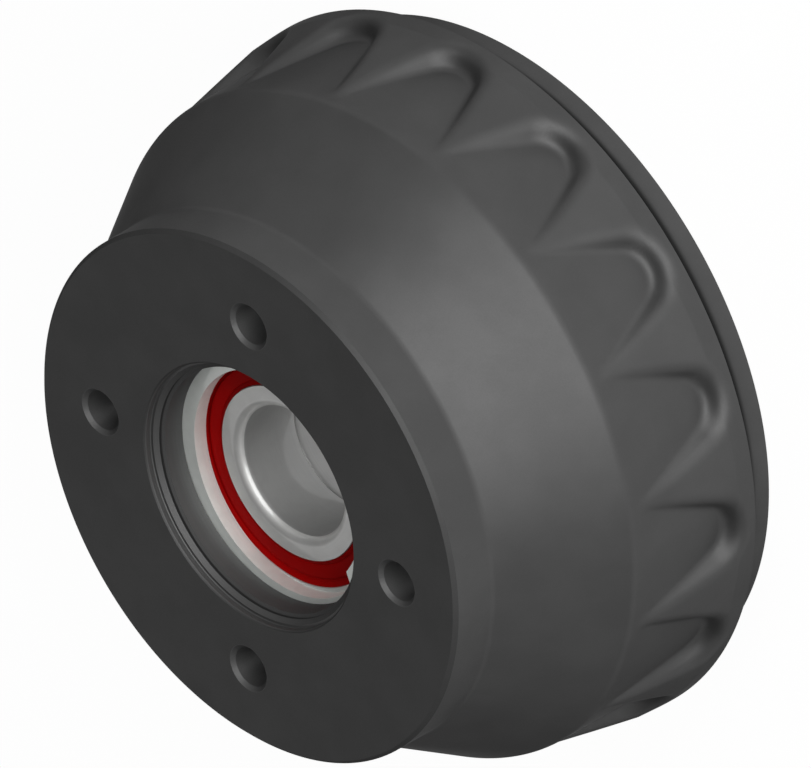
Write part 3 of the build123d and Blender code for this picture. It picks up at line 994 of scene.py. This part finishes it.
@dataclass
class Bearing:
    """Compact double-row bearing: outer ring, split inner ring and seals.

    The corners of a seal's rim are (distance in from its seat, depth past its face, rounding),
    and those of its fine step count their distance out from the lip.
    """

    length: float
    seat_r: float = 32.0
    front: float = 14.05
    centre: float = 32.5
    pair_width: float = 37.0
    shaft_r: float = 17.0
    shaft_corner: float = 2.7
    shoulder_r: float = 23.0
    split_gap: float = 0.02
    low_r: float = 20.6
    ball_r: float = 4.7625
    pitch_r: float = 24.5
    row_offset: float = 8.7
    clearance: float = 0.15
    seal_seat_r: float = 30.0
    seal_seat_end: float = 18.2
    outer_low_r: float = 28.0
    outer_land_r: float = 26.2
    seal_face: float = 14.7
    seal_back: float = 15.75
    sleeve_end: float = 18.0
    insert_r: float = 29.5
    lip_gap: float = 0.12
    seal_rim: tuple[Corner, ...] = (
        (0.0, 0.1, 0), (0.1, -0.45, 0.06), (0.95, 0.5, 0.15), (1.65, 0.5, 0.15), (2.3, 0.0, 0.2))
    seal_step: tuple[Corner, ...] = ((1.3, 0.0, 0.08), (1.1, 0.2, 0.08), (0.9, 0.0, 0.08))
    seal_round: float = 0.08
    outer_rounds: Pair = (0.3, 0.2)
    face_round: float = 0.15
    joint_rounds: Pair = (0.3, 0.35)
    race_steps: int = 12
    around: int = 320

    def flip(self, line: Array, side: Side) -> Array:
        """Section line for one side, mirrored about the bearing's middle for the inboard."""
        if side is Side.OUTBOARD:
            return line
        return np.stack([line[:, 0], 2 * self.centre - line[:, 1]], axis=-1)

    def groove(self, radius: float) -> float:
        """Half width at which the raceway arc meets a cylinder of this radius."""
        reach = self.ball_r + self.clearance
        return float(np.sqrt(reach ** 2 - (radius - self.pitch_r) ** 2))

    def raceway(self, first: float, last: float, row: float) -> Array:
        """Raceway arc about the ball centre, from one angle to another in degrees."""
        reach = self.ball_r + self.clearance
        return arc((self.pitch_r, row), reach, first, last, self.race_steps)

    def angle_at(self, radius: float, side: float) -> float:
        """Angle in degrees at which the raceway arc has this radius from the spin axis."""
        return float(np.degrees(np.arctan2(side * self.groove(radius), radius - self.pitch_r)))

    def turned(self, name: str, line: Array) -> Piece:
        """Carry a closed section line round the spin axis.

        Args:
            name: name of the piece.
            line: array [n, 2] of (radius, depth).

        Returns:
            The object.
        """
        ring = np.concatenate([line, line[:1]])
        angles = np.arange(self.around)[None, :] * 360 / self.around
        skin = Skin()
        skin.add_ring_grid(spun(ring[:, :1], angles, self.length - ring[:, 1:]))
        return skin.build(name)

    def outer_ring(self) -> Piece:
        """Outer ring: broken edges, seal seats and two raceways."""
        row = self.centre - self.row_offset
        low = self.angle_at(self.outer_low_r, -1)
        land = self.angle_at(self.outer_land_r, 1)
        half = np.concatenate([
            rounded([
                (self.seat_r, self.centre, 0),
                (self.seat_r, self.front, self.outer_rounds[0]),
                (self.seal_seat_r, self.front, self.outer_rounds[1]),
                (self.seal_seat_r, self.seal_seat_end, 0),
                (self.outer_low_r, self.seal_seat_end, 0),
            ], closed=False, step=15.0),
            self.raceway(low, land, row),
        ])
        other = self.flip(half[:0:-1], Side.INBOARD)
        return self.turned("bearing_outer_ring_skin", np.concatenate([half, other]))

    def inner_ring(self, side: Side) -> Piece:
        """Half of the inner ring: corner radius, seal land, raceway and low shoulder."""
        row = self.centre - self.row_offset
        start = self.centre - self.pair_width / 2
        back = self.centre - self.split_gap / 2
        high = self.angle_at(self.shoulder_r, -1)
        low = self.angle_at(self.low_r, 1)
        line = np.concatenate([
            rounded([
                (self.shaft_r, back - 3, 0),
                (self.shaft_r, start, self.shaft_corner),
                (self.shoulder_r, start, self.face_round),
                (self.shoulder_r, row - self.groove(self.shoulder_r), 0),
            ], closed=False, step=6.0),
            self.raceway(high + 360, low, row),
            rounded([
                (self.low_r, row + self.groove(self.low_r) + 0.2, 0),
                (self.low_r, back, self.joint_rounds[0]),
                (self.shaft_r, back, self.joint_rounds[1]),
                (self.shaft_r, back - 2, 0),
            ], closed=False, step=15.0),
        ])
        return self.turned(f"inner_ring_{side.value}_skin", self.flip(line, side))

    def seal(self, side: Side) -> Piece:
        """Red rubber of a seal: sloped edge, groove, flat face, fine step and lip."""
        edge = self.seal_seat_r
        lip = self.shoulder_r + self.lip_gap
        face = self.seal_face
        line = rounded([
            *((edge - back, face + down, rounding) for back, down, rounding in self.seal_rim),
            *((lip + out, face + down, rounding) for out, down, rounding in self.seal_step),
            (lip, self.front + 0.15, self.seal_round),
            (lip, face + 0.15, self.seal_round),
            (lip + 0.9, self.seal_back, 0.1),
            (self.insert_r, self.seal_back, 0),
            (self.insert_r, self.sleeve_end, 0),
            (edge, self.sleeve_end, 0.2),
        ], closed=True, step=18.0)
        return self.turned(f"seal_{side.value}_skin", self.flip(line, side))


# Studio


@dataclass(frozen=True)
class Lamp:
    """A soft lamp aimed at the drum: degrees, metres, and light on a facing surface.

    The azimuth runs from +X towards +Y, and a level of 1 shows white paper as white.
    """

    name: str
    azimuth: float
    elevation: float
    size: Pair
    level: float


@dataclass
class Studio:
    """Pale floor, soft lamps and the camera, set to the photograph's view."""

    length: float
    pixels_per_mm: float = 4.187
    width_px: float = 811.0
    height_px: float = 768.0
    flange_px: Pair = (248.5, 497.5)
    distance: float = 1.0
    reach: float = 1.4
    aim_height: float = 0.045
    clip_end: float = 20.0
    floor_r: float = 3.0
    floor_height: float = -0.1 * MM
    floor_sides: int = 96
    floor_colour: Colour = (0.55, 0.55, 0.55)
    floor_roughness: float = 0.9
    glow: float = 1.05
    glow_share: float = 0.92
    ambient: float = 0.06
    horizon: Pair = (0.02, 0.12)
    lamps: tuple[Lamp, ...] = (
        Lamp("key", 43.0, 31.0, (2.2, 1.0), 1.0),
        Lamp("back", 225.0, 35.0, (0.8, 0.8), 0.085),
        Lamp("left", 135.0, 25.0, (0.8, 0.8), 0.05),
        Lamp("right", 315.0, 25.0, (0.8, 0.8), 0.05),
    )

    def camera(self) -> None:
        """Parallel camera that looks along the cube diagonal with the axis at 30 degrees."""
        right = Vector((1, 0, -1)).normalized()
        up = Vector((-1, 2, -1)).normalized()
        back = Vector((1, 1, 1)).normalized()
        scale = MM / self.pixels_per_mm
        aside = (self.width_px / 2 - self.flange_px[0]) * scale
        above = (self.flange_px[1] - self.height_px / 2) * scale
        spot = Vector((0, 0, self.length * MM)) + right * aside + up * above
        data = bpy.data.cameras.new("photo_camera")
        data.type = "ORTHO"
        data.ortho_scale = self.width_px * scale
        data.clip_end = self.clip_end
        camera = stand("photo_camera", data)
        turn = Matrix((right, up, back)).transposed().to_4x4()
        camera.matrix_world = Matrix.Translation(spot + back * self.distance) @ turn
        bpy.context.scene.camera = camera

    def floor(self) -> None:
        """Round pale floor that shows white to the camera and in the steel."""
        sides = self.floor_sides
        rim = spun(self.floor_r, np.arange(sides) * 360 / sides, self.floor_height)
        mesh = bpy.data.meshes.new("floor")
        mesh.from_pydata(rim.tolist(), [], [list(range(sides))])
        floor = stand("floor", mesh)
        board = Board("pale_floor")
        board.wire(board.shader, {
            "Base Color": (*self.floor_colour, 1.0),
            "Roughness": self.floor_roughness,
            "Specular IOR Level": 0.0,
        })
        path = board.node("ShaderNodeLightPath")
        seen = path.outputs["Is Camera Ray"]
        for kind in ("Is Glossy Ray", "Is Transmission Ray"):
            seen = board.maths("MAXIMUM", seen, path.outputs[kind])
        glow = board.wire(board.node("ShaderNodeEmission"), {"Strength": self.glow})
        mix = board.node("ShaderNodeMixShader")
        board.join(board.maths("MULTIPLY", seen, self.glow_share), mix.inputs[0])
        board.join(board.shader.outputs[0], mix.inputs[1])
        board.join(glow, mix.inputs[2])
        board.join(mix.outputs[0], board.output.inputs[0])
        board.material.cycles.emission_sampling = "NONE"
        mesh.materials.append(board.material)

    def hang(self, lamp: Lamp) -> None:
        """Hang a lamp.

        Its radiance times the solid angle that it fills, seen from the drum, is pi times the
        level, and its power is pi times its area and radiance. The solid angle of a lamp of
        half sides a and b at distance d is 4 atan(a b / (d sqrt(d d + a a + b b))).
        """
        a, e = radians(lamp.azimuth), radians(lamp.elevation)
        aim = Vector((cos(e) * cos(a), cos(e) * sin(a), sin(e)))
        half_w, half_h = lamp.size[0] / 2, lamp.size[1] / 2
        slant = sqrt(self.reach ** 2 + half_w ** 2 + half_h ** 2)
        spread = 4 * atan2(half_w * half_h, self.reach * slant)
        data = bpy.data.lights.new(lamp.name, "AREA")
        data.shape = "RECTANGLE"
        data.size, data.size_y = lamp.size
        data.energy = pi * lamp.size[0] * lamp.size[1] * pi * lamp.level / spread
        spot = aim * self.reach + Vector((0, 0, self.aim_height))
        turn = aim.to_track_quat("Z", "Y").to_matrix().to_4x4()
        stand(lamp.name, data).matrix_world = Matrix.Translation(spot) @ turn

    def world(self) -> None:
        """Room that falls from white at the horizon to a dim grey a little above it."""
        world = bpy.data.worlds.new("studio")
        bpy.context.scene.world = world
        world.use_nodes = True
        tree = world.node_tree
        tree.nodes.clear()
        out, light, place, parts, fall = (tree.nodes.new(f"ShaderNode{kind}") for kind in (
            "OutputWorld", "Background", "TexCoord", "SeparateXYZ", "MapRange"))
        for name, value in (("From Min", self.horizon[0]), ("From Max", self.horizon[1]),
                            ("To Min", 1.0), ("To Max", self.ambient)):
            fall.inputs[name].default_value = value
        tree.links.new(place.outputs["Generated"], parts.inputs[0])
        tree.links.new(parts.outputs[2], fall.inputs["Value"])
        tree.links.new(fall.outputs[0], light.inputs["Strength"])
        tree.links.new(light.outputs[0], out.inputs[0])

    def set_up(self) -> None:
        """Make the whole studio."""
        bpy.context.scene.view_settings.view_transform = "Standard"
        self.camera()
        self.floor()
        for lamp in self.lamps:
            self.hang(lamp)
        self.world()


# Assembly


def dress(piece: Piece, material: bpy.types.Material) -> None:
    """Give a piece its one material."""
    piece.data.materials.clear()
    piece.data.materials.append(material)


def hand_over(piece: Piece, node: str, body: Body,
              material: bpy.types.Material) -> None:
    """Dress a new piece and let it stand for its CAD node.

    Args:
        piece: the new piece.
        node: the CAD node that it stands for.
        body: the body that carries it.
        material: its finish.
    """
    dress(piece, material)
    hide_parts(node)
    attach(piece, body.value)
    LOG.info("%s: %d faces", piece.name, len(piece.data.polygons))


def main() -> None:
    """Build and dress the drum, and set up the studio."""
    logging.basicConfig(level=logging.INFO, format="%(message)s")
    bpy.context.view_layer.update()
    length = float(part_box("drum_casting")[1][2]) / MM
    iron = DarkIronFinish().make("dark_iron")
    steel = GroundSteelFinish().make("ground_steel")
    spring = GroundSteelFinish((0.87, 0.9, 0.87), metallic=0.7).make("spring_steel")
    red = MouldedFinish((0.26, 0.001, 0.001), level=0.02).make("red_rubber")
    drum = DrumCasting(length)
    hand_over(drum.build(), "drum_casting", Body.DRUM, iron)
    bearing = Bearing(length)
    hand_over(bearing.outer_ring(), "bearing_outer_ring", Body.DRUM, steel)
    for side in Side:
        hand_over(bearing.inner_ring(side), f"inner_ring_{side.value}", Body.RACE,
                  steel)
        hand_over(bearing.seal(side), f"seal_{side.value}", Body.DRUM, red)
    ball = GroundSteelFinish((0.7, 0.7, 0.71), metallic=1.0, roughness=0.12)
    balls = ball.make("polished_balls")
    nylon = MouldedFinish((0.62, 0.52, 0.33)).make("cage_nylon")
    pressed = GroundSteelFinish((0.42, 0.42, 0.42), skin=0.0).make("pressed_steel")
    dress(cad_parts["retaining_ring"], spring)
    for side in Side:
        dress(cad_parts[f"ball_row_{side.value}"], balls)
        dress(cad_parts[f"ball_cage_{side.value}"], nylon)
        dress(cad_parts[f"seal_insert_{side.value}"], pressed)
    Studio(length).set_up()


if __name__ == "__main__":
    main()
